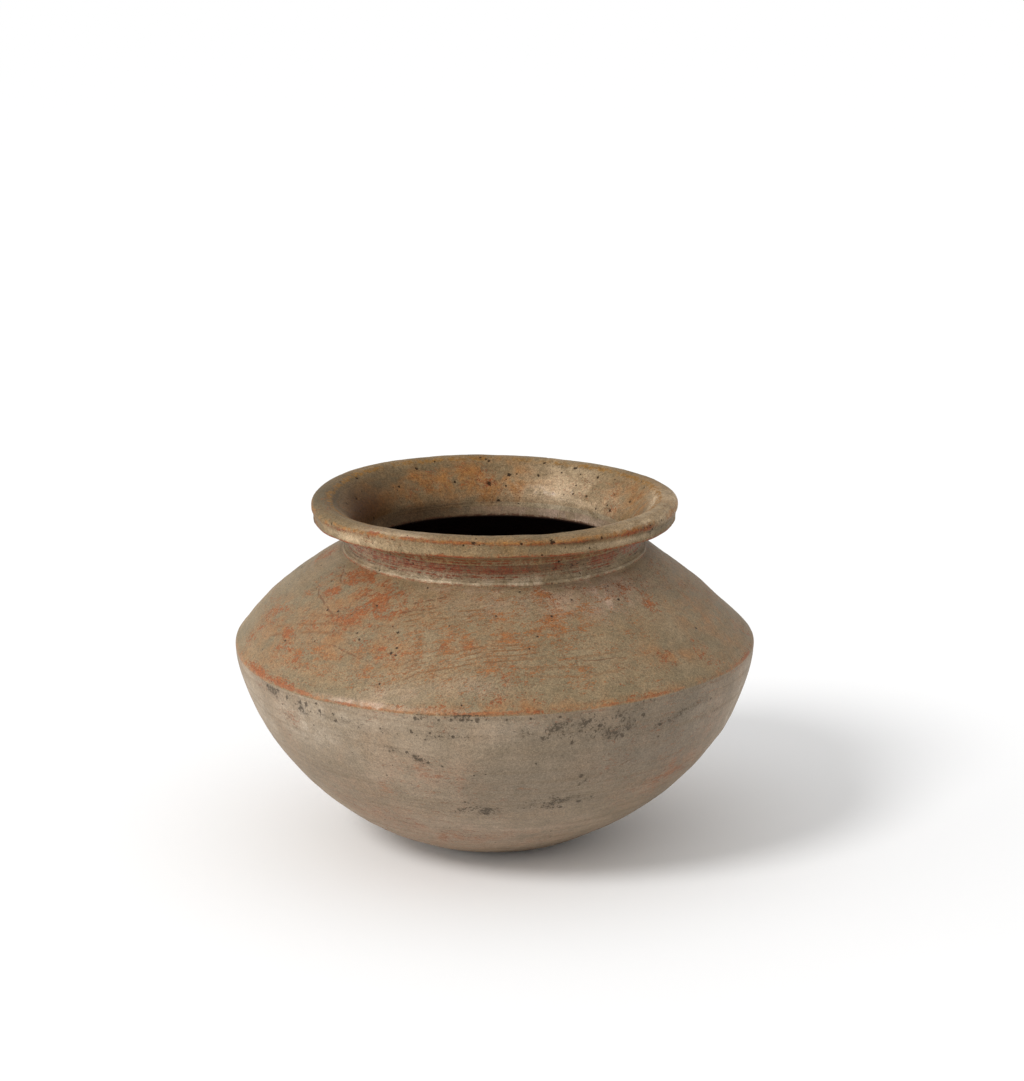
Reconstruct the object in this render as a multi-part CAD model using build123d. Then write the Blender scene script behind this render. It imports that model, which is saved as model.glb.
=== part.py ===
from build123d import *
import os
from math import cos, radians, sin, tan

# A hand-built clay olla, in millimetres.
# It stands on z = 0 with its turning axis on Z.
# Every piece is one wall section turned about that axis.
# Sections are drawn with x as the radius and y as the height.

# Bowl
base_flat_radius = 32.0       # flat that the pot rests on
base_wall = 9.0
belly_radius = 150.0          # widest point of the pot
belly_height = 117.3          # height of that widest point
belly_wall = 7.0
bowl_side_lean = 3.0          # degrees that the side leans in below the belly edge
bowl_side_pull = 64.6         # how far the side runs on before it turns in
bowl_base_pull = 34.4         # how far the flat runs out before it turns up
floor_inset = 2.0             # the flat inside is this much smaller than the one outside
inside_side_ease = 7.0        # the inside turns in sooner than the outside by this much
inside_base_ease = 4.5        # and it turns up sooner by this much

# Shoulder
shoulder_rise = 54.5          # from the widest point up to the outer edge of the neck seat
belly_edge_round = 5.1        # rounding of the worn outer belly edge
belly_edge_turn = 39.5        # degrees that the edge turns above level
belly_inside_round = 9.0
belly_inside_turn = 38.0
shoulder_wall = 6.5           # at the throat
throat_radius = 77.0
throat_edge_round = 2.0

# Neck
neck_wall = 6.5
neck_height = 10.7            # from the outer edge of its seat up to the rim seam
neck_seat_rise = 25.0         # degrees that the seat climbs towards the throat
seam_coil_width = 3.6         # stands out this far from the neck
seam_coil_height = 3.6        # and climbs this far up it
seam_coil_edge = 1.0          # height of its rounded edge over the shoulder
seam_coil_hollow = 0.75       # smoothed hollow into the neck by a wet finger

# Rim
seam_bevel = 25.0             # degrees that a seam dips towards the inside
rim_cove_radius = 5.5         # where the underside of the rim meets the neck
band_overhang = 20.4          # how far the foot of the outer band stands out from the neck
band_foot_rise = 8.5          # from the rim seam up to the foot of the outer band
band_foot_round = 0.9         # rounding of that sharp lower edge
band_hollow = 0.4             # the band is slightly hollow between its foot and the roll
lip_rise = 12.0               # from the foot of the band up to the crest of the lip
lip_inset = 5.7               # the crest stands this far inside the foot of the band
lip_half_width = 7.0
lip_half_height = 4.2
lip_outer_start = -7.0        # degrees round the lip roll where the band meets it
lip_inner_end = 152.0         # degrees round the lip roll where the inside flare leaves it
flare_upper_pull = 8.0        # how far the flare keeps the slope of the lip
flare_lower_pull = 9.0        # how far the flare runs up straight out of the neck

# Radii and heights that follow from them, from the neck outwards and from the ground up
neck_radius = throat_radius + neck_wall
neck_seat_radius = neck_radius + seam_coil_width
band_foot_radius = neck_radius + band_overhang
lip_centre_radius = band_foot_radius - lip_inset
neck_seat_height = belly_height + shoulder_rise
rim_seam_height = neck_seat_height + neck_height
band_foot_height = rim_seam_height + band_foot_rise
lip_crest_height = band_foot_height + lip_rise


def polar(angle, length):
    return Vector(length * cos(radians(angle)), length * sin(radians(angle)))


def drop(width, angle):
    return width * tan(radians(angle))


def turned(*edges):
    return revolve(Plane.XZ * make_face(edges), Axis.Z)


def seat_point(radius):
    return Vector(radius, neck_seat_height + drop(neck_seat_radius - radius, neck_seat_rise))


# Seam under the belly edge, dipping inwards
belly_edge_centre = Vector(belly_radius - belly_edge_round, belly_height)
belly_seam_outer = belly_edge_centre + polar(-bowl_side_lean, belly_edge_round)
belly_seam_inner = belly_seam_outer - Vector(belly_wall, drop(belly_wall, seam_bevel))
side_direction = polar(-90 - bowl_side_lean, 1)
belly_seam = Line(belly_seam_outer, belly_seam_inner)

# Bowl, with its wall easing from the belly seam into the thicker floor
floor_radius = base_flat_radius - floor_inset
floor_turn_radius = floor_radius + bowl_base_pull - inside_base_ease
bowl_outside = Bezier(
    belly_seam_outer,
    belly_seam_outer + side_direction * bowl_side_pull,
    (base_flat_radius + bowl_base_pull, 0),
    (base_flat_radius, 0),
)
bowl_inside = Bezier(
    belly_seam_inner,
    belly_seam_inner + side_direction * (bowl_side_pull - inside_side_ease),
    (floor_turn_radius, base_wall),
    (floor_radius, base_wall),
)
resting_flat = Line((base_flat_radius, 0), (0, 0))
bowl_axis = Line((0, 0), (0, base_wall))
bowl_floor = Line((0, base_wall), (floor_radius, base_wall))
base_bowl = turned(bowl_outside, resting_flat, bowl_axis, bowl_floor, bowl_inside, belly_seam)

# Shoulder, bevelled at its top as a seat for the neck
neck_seat_outer = seat_point(neck_seat_radius)
seat_inner = seat_point(throat_radius)
shoulder_seat = Line(neck_seat_outer, seat_inner)
belly_edge = CenterArc(
    belly_edge_centre, belly_edge_round, -bowl_side_lean, bowl_side_lean + belly_edge_turn
)
shoulder_outside = TangentArc(belly_edge @ 1, neck_seat_outer, tangent=belly_edge % 1)
throat_bottom = seat_inner - Vector(0, shoulder_wall / cos(radians(neck_seat_rise)))
throat_edge_start = throat_bottom + Vector(0, throat_edge_round)
throat_wall = Line(seat_inner, throat_edge_start)
throat_edge = CenterArc(
    throat_edge_start + Vector(throat_edge_round, 0), throat_edge_round, 180, 90
)
inside_round_centre = belly_seam_inner - polar(-bowl_side_lean, belly_inside_round)
inside_round = CenterArc(
    inside_round_centre, belly_inside_round, -bowl_side_lean, bowl_side_lean + belly_inside_turn
)
shoulder_inside = TangentArc(inside_round @ 1, throat_edge @ 1, tangent=inside_round % 1)
shoulder = turned(
    belly_edge,
    shoulder_outside,
    shoulder_seat,
    throat_wall,
    throat_edge,
    shoulder_inside,
    inside_round,
    belly_seam,
)

# Neck collar, standing on the seat
neck_foot_outer = seat_point(neck_radius)
rim_seam_outer = Vector(neck_radius, rim_seam_height)
rim_seam_inner = Vector(throat_radius, rim_seam_height - drop(neck_radius - throat_radius, seam_bevel))
neck_foot = Line(seat_inner, neck_foot_outer)
neck_outside = Line(neck_foot_outer, rim_seam_outer)
rim_seam = Line(rim_seam_outer, rim_seam_inner)
neck_inside = Line(rim_seam_inner, seat_inner)
neck_collar = turned(neck_foot, neck_outside, rim_seam, neck_inside)

# Coil pressed into the angle of neck and shoulder
coil_top = neck_foot_outer + Vector(0, seam_coil_height)
coil_edge_top = neck_seat_outer + Vector(-seam_coil_edge / 2, seam_coil_edge)
coil_foot = Line(neck_foot_outer, neck_seat_outer)
coil_edge = SagittaArc(coil_edge_top, neck_seat_outer, seam_coil_edge / 4)
coil_outside = SagittaArc(coil_top, coil_edge_top, -seam_coil_hollow)
coil_back = Line(coil_top, neck_foot_outer)
neck_seam_coil = turned(coil_foot, coil_edge, coil_outside, coil_back)

# Rim: cove, underside, hollow outer band, rolled lip and inside flare
rim_cove = CenterArc(
    rim_seam_outer + Vector(rim_cove_radius, 0), rim_cove_radius, 180, -90
)
band_foot_centre = Vector(band_foot_radius - band_foot_round, band_foot_height + band_foot_round)
rim_underside = Line(rim_cove @ 1, band_foot_centre - Vector(0, band_foot_round))
band_foot = CenterArc(band_foot_centre, band_foot_round, -90, 90)
lip_centre = Vector(lip_centre_radius, lip_crest_height - lip_half_height)
lip_roll = EllipticalCenterArc(
    lip_centre,
    lip_half_width,
    lip_half_height,
    lip_outer_start,
    arc_size=lip_inner_end - lip_outer_start,
)
outer_band = SagittaArc(band_foot @ 1, lip_roll @ 0, band_hollow)
inside_flare = Bezier(
    lip_roll @ 1,
    lip_roll @ 1 + (lip_roll % 1) * flare_upper_pull,
    rim_seam_inner + Vector(0, flare_lower_pull),
    rim_seam_inner,
)
rim_lip = turned(
    rim_cove, rim_underside, band_foot, outer_band, lip_roll, inside_flare, rim_seam
)

pieces = {
    "base_bowl": base_bowl,
    "shoulder": shoulder,
    "neck_collar": neck_collar,
    "neck_seam_coil": neck_seam_coil,
    "rim_lip": rim_lip,
}
os.makedirs("parts", exist_ok=True)
for name, piece in pieces.items():
    export_step(piece, f"parts/{name}.step")
    print(name, round(piece.volume), "mm3")
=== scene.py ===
from functools import partialmethod, reduce
from itertools import product
from math import cos, pi, radians, sin, tan
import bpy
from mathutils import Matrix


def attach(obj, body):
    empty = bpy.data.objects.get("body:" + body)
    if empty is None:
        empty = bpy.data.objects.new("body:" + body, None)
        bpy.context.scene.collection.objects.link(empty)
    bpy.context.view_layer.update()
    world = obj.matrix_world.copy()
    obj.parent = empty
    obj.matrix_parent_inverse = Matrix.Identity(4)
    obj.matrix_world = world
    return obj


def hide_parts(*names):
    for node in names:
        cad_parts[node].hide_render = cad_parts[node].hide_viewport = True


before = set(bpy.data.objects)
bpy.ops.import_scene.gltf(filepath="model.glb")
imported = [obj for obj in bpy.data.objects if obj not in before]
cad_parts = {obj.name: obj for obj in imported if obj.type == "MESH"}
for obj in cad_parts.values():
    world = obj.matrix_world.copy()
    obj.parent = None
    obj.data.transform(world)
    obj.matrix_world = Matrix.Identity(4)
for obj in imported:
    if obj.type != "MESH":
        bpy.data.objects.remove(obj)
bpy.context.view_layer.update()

from types import SimpleNamespace

import bpy
import numpy as np
from mathutils import Vector

scene = bpy.context.scene
mm = 0.001
print("frame loaded with", ", ".join(sorted(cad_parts)))


def addObject(name, data):
    thing = bpy.data.objects.new(name, data)
    scene.collection.objects.link(thing)
    return thing


# camera, in front of the pot and looking down on it
cameraSetup = {
    "distance": 1.7,
    "height": 0.6164,
    "lookDown": 14.55,
    "turnRight": 0.342,
    "lens": 101.54,
    "sensor": 36,
    "farthest": 60,
}


def makeCamera(setup):
    lensData = bpy.data.cameras.new("photoCamera")
    lensData.sensor_width = setup["sensor"]
    lensData.lens = setup["lens"]
    lensData.clip_end = setup["farthest"]
    camera = addObject("photoCamera", lensData)
    camera.location = (0, -setup["distance"], setup["height"])
    camera.rotation_euler = (radians(90 - setup["lookDown"]), 0, radians(-setup["turnRight"]))
    scene.camera = camera


makeCamera(cameraSetup)
print("camera set")

# sections are drawn in millimetres, as radius and height, and each run of one ends with its count of points
fineSteps = 400             # points on a curve before they are spaced evenly
touching = 1e-4             # points nearer than this are one point
seamFade = 3.5              # the surface runs out this near to a seam
sharpAngle = 48
dabEdge = 1.3             # how sharply a painted mark ends
hashPrimes = (374761393, 668265263, 1440662683)
hashSeed, hashStir, hashWord = 974711, 1274126177, 0xFFFFFFFF


def along(angle):
    return np.array([cos(radians(angle)), sin(radians(angle))])


def unit(way):
    return way / np.hypot(*way)


def straight(a, b, count):
    t = np.linspace(0, 1, count)[:, None]
    return np.asarray(a) * (1 - t) + np.asarray(b) * t


def roundArc(centre, size, start, end, count):  # of a circle, or of an ellipse if size is a pair
    turn = np.radians(np.linspace(start, end, count))
    return np.asarray(centre) + np.column_stack([np.cos(turn), np.sin(turn)]) * size


def distances(points):
    return np.r_[0, np.cumsum(np.hypot(*np.diff(points, axis=0).T))]


def evenly(points, count):
    steps = distances(points)
    spots = np.linspace(0, steps[-1], count)
    return np.column_stack([np.interp(spots, steps, points[:, axis]) for axis in (0, 1)])


def sweep(a, pullA, pullB, b, count):
    t = np.linspace(0, 1, fineSteps)[:, None]
    s = 1 - t
    a, pullA, pullB, b = (np.asarray(p, float) for p in (a, pullA, pullB, b))
    return evenly(s**3 * a + 3 * s * s * t * pullA + 3 * s * t * t * pullB + t**3 * b, count)


def leaving(a, direction, b, count):  # the arc that leaves a along direction and ends at b
    a, b = np.asarray(a, float), np.asarray(b, float)
    side = np.array([-direction[1], direction[0]])
    chord = b - a
    radius = chord @ chord / (2 * chord @ side)
    centre = a + side * radius
    start, end = (np.degrees(np.arctan2(*(p - centre)[::-1])) for p in (a, b))
    end -= 360 * round((end - start) / 360)
    return roundArc(centre, abs(radius), start, end, count)


def bowed(a, b, bow, count):  # an arc that stands off to the left of the way from a to b
    x, y = np.asarray(b, float) - np.asarray(a, float)
    turn = 2 * np.arctan2(2 * bow, np.hypot(x, y))
    direction = np.array([x * np.cos(turn) - y * np.sin(turn), x * np.sin(turn) + y * np.cos(turn)])
    return leaving(a, unit(direction), b, count)


def spun(turn, radius, height):  # turned about the axis, from the front towards the right
    return np.stack([radius * np.sin(turn), -radius * np.cos(turn), height], axis=-1)


def softStep(value, low, high):
    t = np.clip((value - low) / (high - low), 0, 1)
    return t * t * (3 - 2 * t)


def within(value, low, full, stillFull=None, high=None):
    fade = 0 if high is None else softStep(value, stillFull, high)
    return softStep(value, low, full) * (1 - fade)


def hump(value, middle, width):
    return np.exp(-(((value - middle) / width) ** 2))


def lumps(place, size, seed):  # smooth noise from -1 to 1, about one lump every size mm
    p = place / np.asarray(size, float) + seed * 7.31
    cell = np.floor(p).astype(np.int64)
    f = p - cell
    f = f * f * f * (f * (f * 6 - 15) + 10)
    total = np.zeros(p.shape[:-1])
    for corner in product((0, 1), repeat=3):
        c = cell + np.array(corner)
        h = sum(c[..., axis] * prime for axis, prime in enumerate(hashPrimes))
        h = (h + seed * hashSeed) & hashWord
        h = ((h ^ (h >> 13)) * hashStir) & hashWord
        weight = np.prod(np.where(np.array(corner) == 1, f, 1 - f), axis=-1)
        total += weight * (((h ^ (h >> 16)) & 0xFFFF) / 32767.5 - 1)
    return total


# how far the hand-built pot is from a true round, in millimetres
handShape = {
    "bellyWave": 1.9,       # the belly edge dips at the left front and rises at the right front
    "shoulderLean": 1.5,    # the shoulder is fuller at the left
    "shoulderSlack": 0.3,
    "bowlSlack": 0.9,       # the bowl is a little flatter at the left
    "bowlLean": 1.8,        # its bottom stands a little to the left
    "rimTilt": 1.3,         # the back of the rim is higher at the left
    "bandDroop": 2.4,       # the band hangs lower at both sides than in front
    "lipThin": 1.0,         # the lip roll is thinner at the left front
    "crestDip": 1.2,        # and its crest is lower at the left
    "droopLevel": 0.4,
    "unevenness": 0.55,
    "lumpSizes": (52, 21, 60),  # broad and small ones outwards, and those that lift
    "smallShare": 0.45,
    "liftShare": 0.5,
    "seed": 11,
}
heightZones = {             # heights at which a part of the pot begins, is full and ends
    "clear": (0.5, 14), "bottom": (8, 42), "lift": (12, 50), "flank": (30, 60, 95, 116),
    "shoulder": (121, 138, 160, 171), "rim": (183, 199), "band": (186.5, 190.5), "crest": (197.5, 202.5),
}
radiusZones = {"wall": (20, 60), "side": (40, 80), "bandFace": (92, 101), "lipFace": (100, 103)}
heightHumps = {"belly": (118, 24), "lipFoot": (198.3, 2.2)}     # middle and width
turnHumps = {"leftFront": (-20, 34), "leftSide": (-68, 32)}     # in degrees


def handmade(info):
    shape = handShape
    turn, radius, height = info.turn, info.radius, info.height
    left, twice = -np.sin(turn), np.sin(2 * turn)
    broadSize, smallSize, liftSize = shape["lumpSizes"]
    zone = {}
    for shaped, places, values in ((within, heightZones, height), (within, radiusZones, radius),
                                   (hump, heightHumps, height), (hump, turnHumps, np.degrees(turn))):
        zone.update({key: shaped(values, *limits) for key, limits in places.items()})
    rise = shape["bellyWave"] * twice * zone["belly"] * zone["side"]
    rise = rise + shape["rimTilt"] * twice * (1 - np.cos(turn)) / 2 * zone["rim"]
    droop = shape["bandDroop"] * (left**2 - shape["droopLevel"])
    rise = rise - droop * zone["band"] * (1 - zone["crest"]) * zone["bandFace"]
    rise = rise + shape["lipThin"] * zone["leftFront"] * zone["lipFoot"] * zone["lipFace"]
    rise = rise - shape["crestDip"] * zone["leftSide"] * zone["crest"]
    lift = lumps(info.place, liftSize, shape["seed"] + 2) * zone["lift"]
    rise = rise + shape["liftShare"] * shape["unevenness"] * lift
    out = (shape["shoulderLean"] * left - shape["shoulderSlack"]) * zone["shoulder"]
    out = out - shape["bowlSlack"] * np.clip(left, 0, 1) * zone["flank"]
    out = out + shape["bowlLean"] * left * (1 - zone["bottom"]) * zone["clear"]
    bumps = lumps(info.place, broadSize, shape["seed"])
    bumps = bumps + shape["smallShare"] * lumps(info.place, smallSize, shape["seed"] + 1)
    out = out + shape["unevenness"] * bumps * zone["clear"] * zone["wall"]
    return radius + out, height + rise


handStrokes = {"radius": 120, "reach": 60, "ease": 0.03}


def turnPiece(name, runs, around, zero, finish, poles=False, climb=0.0):
    # runs are (label, points) in order round the section, and zero is the point from which it is measured
    # climb is how steeply the strokes of the hand rise to the right on the left side
    points, labels = [], []
    for label, run in runs:
        skip = 1 if points and np.hypot(*(run[0] - points[-1])) < touching else 0
        points.extend(run[skip:])
        labels.extend([label] * (len(run) - skip))
    if not poles and np.hypot(*(points[0] - points[-1])) < touching:
        points.pop()
        labels.pop()
    section, labels = np.array(points), np.array(labels)
    first, last = section[0], section[-1]
    if poles:
        section, labels = section[1:-1], labels[1:-1]
    ahead, behind = np.roll(section, -1, axis=0), np.roll(section, 1, axis=0)
    if poles:
        ahead[-1], behind[0] = last, first
    tangent = ahead - behind
    area = np.sum(section[:, 0] * ahead[:, 1] - ahead[:, 0] * section[:, 1])
    normal = np.column_stack([tangent[:, 1], -tangent[:, 0]]) * np.sign(area)
    normal /= np.hypot(*normal.T)[:, None]
    length = distances(section)
    length -= length[np.argmin(np.hypot(*(section - np.asarray(zero)).T))]
    seamed = np.char.startswith(labels, "seam")
    edge = seamed | np.roll(seamed, 1) | np.roll(seamed, -1)
    fromSeam = np.min(np.hypot(*(section[:, None] - section[None, edge]).transpose(2, 0, 1)), axis=1)

    rows = len(section)
    turn = np.linspace(-pi, pi, around, endpoint=False)
    info = SimpleNamespace(label=labels, seamed=seamed[:, None], poles=poles)
    info.turn, info.radius, info.height, info.length = np.broadcast_arrays(
        turn, section[:, :1], section[:, 1:], length[:, None]
    )
    info.place = spun(info.turn, info.radius, info.height)
    info.drawn = spun(info.turn, handStrokes["radius"], info.length)
    across = np.sin(info.turn)[..., None]
    climbing = climb * handStrokes["reach"] * (across - np.sqrt(across**2 + handStrokes["ease"]))
    info.brushed = info.drawn - climbing * [0, 0, 1]
    radius, height = handmade(info)
    depth = finish(info) * softStep(fromSeam, 0, seamFade)[:, None]
    info.shaped = spun(turn, radius + depth * normal[:, :1], height + depth * normal[:, 1:])

    corners = info.shaped.reshape(-1, 3)
    ring, step = np.arange(rows - 1 if poles else rows)[:, None] * around, np.arange(around)
    nextRing, nextStep = (ring + around) % (rows * around), (step + 1) % around
    quads = np.stack([ring + step, ring + nextStep, nextRing + nextStep, nextRing + step], axis=-1)
    faces = quads.reshape(-1, 4).tolist()
    if poles:
        tip, lastRing = np.full(around, len(corners)), (rows - 1) * around
        corners = np.vstack([corners, [0, 0, first[1]], [0, 0, last[1]]])
        faces += np.column_stack([nextStep, step, tip]).tolist()
        faces += np.column_stack([lastRing + step, lastRing + nextStep, tip + 1]).tolist()
    if area < 0:
        faces = [face[::-1] for face in faces]
    mesh = bpy.data.meshes.new(name)
    mesh.from_pydata((corners * mm).tolist(), [], faces)
    mesh.shade_smooth()
    mesh.set_sharp_from_angle(angle=radians(sharpAngle))
    piece = addObject(name, mesh)
    keep(piece, "turned", info, info.drawn * mm)
    keep(piece, "brushed", info, info.brushed * mm)
    return piece, info


def keep(piece, name, info, values):  # a value or a vector for each point of the piece
    vector = values.ndim == 3
    flat = values.reshape(info.turn.size, -1)
    if info.poles:
        flat = np.vstack([flat, flat[[0, -1]] * ([0, 0, 1] if vector else 1)])
    attribute = piece.data.attributes.new(name, "FLOAT_VECTOR" if vector else "FLOAT", "POINT")
    attribute.data.foreach_set("vector" if vector else "value", flat.astype(np.float32).ravel())


def swingFrom(info, azimuth):
    return (info.turn - radians(azimuth) + pi) % (2 * pi) - pi


def dab(info, marks):  # marks as azimuth, height, half width, half rise, strength and for some a tilt: stains, painted shade and painted light
    total = np.zeros(info.turn.shape)
    for azimuth, height, wide, high, strength, *tilt in marks:
        across, up = swingFrom(info, azimuth) * info.radius, info.height - height
        x, y = along(*tilt or [0])
        u, v = (across * x + up * y) / wide, (up * x - across * y) / high
        total = np.maximum(total, strength * np.exp(-((u * u + v * v) ** dabEdge)))
    return total


def textured(info, layers):  # lumps as depth, what they follow, size and seed
    return sum(depth * lumps(getattr(info, follow), size, seed) for depth, follow, size, seed in layers)


def pitted(info, pits):  # pits as azimuth, height, radius and depth
    depth = 0
    for azimuth, height, size, deep in pits:
        away = np.hypot(swingFrom(info, azimuth) * info.radius, info.height - height) / size
        depth = depth + deep * np.exp(-(away**4))
    return depth


# sizes of the sections, the same as those of the solids but for a fuller coil
bowlSize = {
    "flat": 32, "seamOut": (149.993, 117.033), "seamIn": (142.993, 113.769), "lean": 3, "sidePull": 64.6,
    "basePull": 34.4, "floor": 30, "floorHeight": 9, "insideSidePull": 57.6, "insideBasePull": 29.9,
}
shoulderSize = {
    "edgeCentre": (144.9, 117.3), "edgeRound": 5.1, "edgeTurn": 39.5, "seatOut": (87.1, 171.8), "seatRise": 25,
    "throat": 77, "throatRound": 2, "wall": 6.5, "insideRound": 9, "insideTurn": 38,
}
neckSize = {
    "outside": 83.5, "inside": 77, "top": 182.5, "bevel": 25, "coilHeight": 3.6, "coilEdge": 2.2,
    "coilHollow": 0.15,
}
rimSize = {
    "cove": 5.5, "footRadius": 103.9, "foot": 191, "footRound": 0.9, "hollow": 0.4, "lipCentre": (98.2, 198.8),
    "lip": (7, 4.2), "lipStart": -7, "lipEnd": 152, "upperPull": 8, "lowerPull": 9,
}


def seatPoint(radius):
    seat = shoulderSize["seatOut"]
    return np.array([radius, seat[1] + (seat[0] - radius) * tan(radians(shoulderSize["seatRise"]))])


def rimSeam():
    wall = neckSize["outside"] - neckSize["inside"]
    top = np.array([neckSize["outside"], neckSize["top"]])
    return top, top - [wall, wall * tan(radians(neckSize["bevel"]))]


# bowl
bowlLook = {
    "around": 720,
    "climb": 0.05,
    "smoothFoot": (0.2, 6),  # heights over which the layers begin
    "layers": [             # flat spots left by scraping, long marks of the wet hand, and grain
        (0.22, "place", (26, 26, 17), 31), (0.16, "drawn", (34, 34, 6), 32), (0.05, "place", 5, 33),
        (0.03, "place", 2.6, 34),
    ],
    "specks": [             # azimuth, height and radius of the larger specks of soot
        (-57, 116.3, 1.4), (-53, 114.7, 1.9), (-49.8, 113.4, 2.2), (-45.5, 113.7, 2), (-43.6, 113, 2.1),
        (-40.5, 115, 1.4), (-39.5, 110.4, 1.6), (-36.2, 110.7, 1.3), (-35.5, 107.8, 1.6), (-16.4, 116.1, 1.5),
        (-11.7, 116.2, 1.1), (-9.2, 116.1, 1.3), (-6.7, 116.2, 1.2), (-3.3, 115.8, 2.2), (2.3, 116.2, 1.1),
        (7.5, 116.2, 1.2), (13.7, 116, 1.3), (-17.4, 106, 1.6), (-13.6, 106.8, 1.1), (-11.7, 104.5, 1.3),
        (-8.4, 105.2, 1.4), (-5.5, 104.9, 1.2), (-19.2, 93.7, 1.7), (-16.4, 89.8, 1.2), (-14.5, 86.9, 1.4),
        (-11.3, 85.8, 1.1), (10.2, 103.5, 2), (16.5, 98.1, 1.9), (37.3, 100.7, 1.5), (9.1, 87.9, 1),
        (20, 76.8, 2.1), (21.7, 58.2, 2.3), (16.8, 53.8, 1.9), (-1.8, 51.4, 2.1), (32.7, 109.7, 1.9),
        (20.2, 109.9, 1.7), (28.2, 98.6, 2.3), (22.6, 106.1, 2.1), (120, 104, 1.8), (135, 98, 1.5),
        (-150, 108, 1.6), (-120, 100, 1.4), (165, 70, 1.5), (175, 112, 1.3), (95, 108, 1.4),
    ],
}


def bowlSurface(info):
    return textured(info, bowlLook["layers"]) * softStep(info.height, *bowlLook["smoothFoot"])


def makeBowl():
    size, look = bowlSize, bowlLook
    down = along(-90 - size["lean"])
    out, inner = np.array(size["seamOut"]), np.array(size["seamIn"])
    floor, flat = np.array([size["floor"], size["floorHeight"]]), np.array([size["flat"], 0])
    floorPull, sidePull = floor + [size["insideBasePull"], 0], inner + down * size["insideSidePull"]
    runs = [
        ("floor", straight(floor * [0, 1], floor, 8)),
        ("inside", sweep(floor, floorPull, sidePull, inner, 30)),
        ("seam", straight(inner, out, 4)),
        ("outside", sweep(out, out + down * size["sidePull"], flat + [size["basePull"], 0], flat, 88)),
        ("flat", straight(flat, (0, 0), 8)),
    ]
    return turnPiece("bowl", runs, look["around"], out, bowlSurface, poles=True, climb=look["climb"])


bowl, bowlInfo = makeBowl()
print("bowl turned")

# shoulder
shoulderLook = {
    "around": 720,
    "climb": 0.42,
    "layers": [             # marks of the wet hand, ripples and grain
        (0.15, "brushed", (30, 30, 4), 41), (0.1, "place", 11, 42), (0.045, "place", 4.5, 43),
        (0.027, "place", 2.4, 44),
    ],
    "groove": 1.2,          # incised line round the foot of the neck
    "grooveWidth": 0.75,
    "grooveFromNeck": 0.9,
    "grooveWander": [(0.35, "drawn", (25, 25, 400), 45)],
    "grooveLevel": 0.75,    # its depth, and how that varies
    "grooveBreaks": [(0.35, "drawn", (16, 16, 400), 46)],
    "pits": [               # azimuth, height, radius and depth of the larger pits
        (-64, 163.3, 1.1, 0.3), (-67, 158.7, 1.1, 0.3), (-26.5, 151.3, 1.4, 0.4), (-25, 145.2, 1.1, 0.3),
        (-25.8, 142.8, 1.2, 0.3), (-24.6, 141.9, 1, 0.2), (-59.7, 137, 1.2, 0.3), (-37.5, 160.4, 1.2, 0.3),
        (25.7, 165, 1.3, 0.4), (41.8, 161.5, 1.2, 0.3), (17.2, 159.3, 1.2, 0.3), (0.4, 160.2, 1.1, 0.3),
        (11.3, 151.4, 1.1, 0.3), (120, 150, 1.3, 0.4), (-155, 158, 1.3, 0.4), (-100, 140, 1.2, 0.3),
    ],
}


def shoulderSurface(info):
    look, seat = shoulderLook, shoulderSize["seatOut"]
    outside = np.isin(info.label, ["edge", "outside"])[:, None]
    fromNeck = np.hypot(info.radius - seat[0], info.height - seat[1])
    fromNeck = fromNeck + textured(info, look["grooveWander"])
    groove = hump(fromNeck, look["grooveFromNeck"], look["grooveWidth"])
    groove = groove * (look["grooveLevel"] + textured(info, look["grooveBreaks"]))
    return textured(info, look["layers"]) - (look["groove"] * groove + pitted(info, look["pits"])) * outside


def makeShoulder():
    size, look, lean = shoulderSize, shoulderLook, bowlSize["lean"]
    centre, seat = np.array(size["edgeCentre"]), np.array(size["seatOut"])
    seamOut, seamIn = np.array(bowlSize["seamOut"]), np.array(bowlSize["seamIn"])
    edge = roundArc(centre, size["edgeRound"], -lean, size["edgeTurn"], 9)
    outside = leaving(edge[-1], along(90 + size["edgeTurn"]), seat, fineSteps)
    throatTop = seatPoint(size["throat"])
    throatFoot = throatTop - [0, size["wall"] / cos(radians(size["seatRise"])) - size["throatRound"]]
    throatEdge = roundArc(throatFoot + [size["throatRound"], 0], size["throatRound"], 180, 270, 6)
    turnCentre = seamIn - size["insideRound"] * along(-lean)
    turnIn = roundArc(turnCentre, size["insideRound"], -lean, size["insideTurn"], 6)
    inside = leaving(turnIn[-1], along(90 + size["insideTurn"]), throatEdge[-1], fineSteps // 2)
    runs = [
        ("edge", edge),
        ("outside", evenly(outside, 86)),
        ("seam", straight(seat, throatTop, 4)),
        ("throat", straight(throatTop, throatFoot, 5)),
        ("throatEdge", throatEdge),
        ("inside", evenly(inside, 20)[::-1]),
        ("insideEdge", turnIn[::-1]),
        ("seam", straight(seamIn, seamOut, 3)),
    ]
    crest = centre + [size["edgeRound"], 0]
    return turnPiece("shoulderWall", runs, look["around"], crest, shoulderSurface, climb=look["climb"])


shoulder, shoulderInfo = makeShoulder()
print("shoulder turned")

# neck
neckLook = {
    "around": 720,
    "turningLines": 0.20,
    "lineSpacing": 1.7,
    "lineSway": [(2.2, "drawn", (60, 60, 4), 51)],
    "lineLevel": 0.55,      # their depth, and how that varies
    "lineBreaks": [(0.45, "drawn", (22, 22, 2.5), 52)],
    "layers": [(0.12, "drawn", (14, 14, 3), 53)],
    "coilLayers": [(0.2, "drawn", (15, 15, 5), 54), (0.12, "drawn", (5, 5, 1.2), 55)],
}


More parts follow.
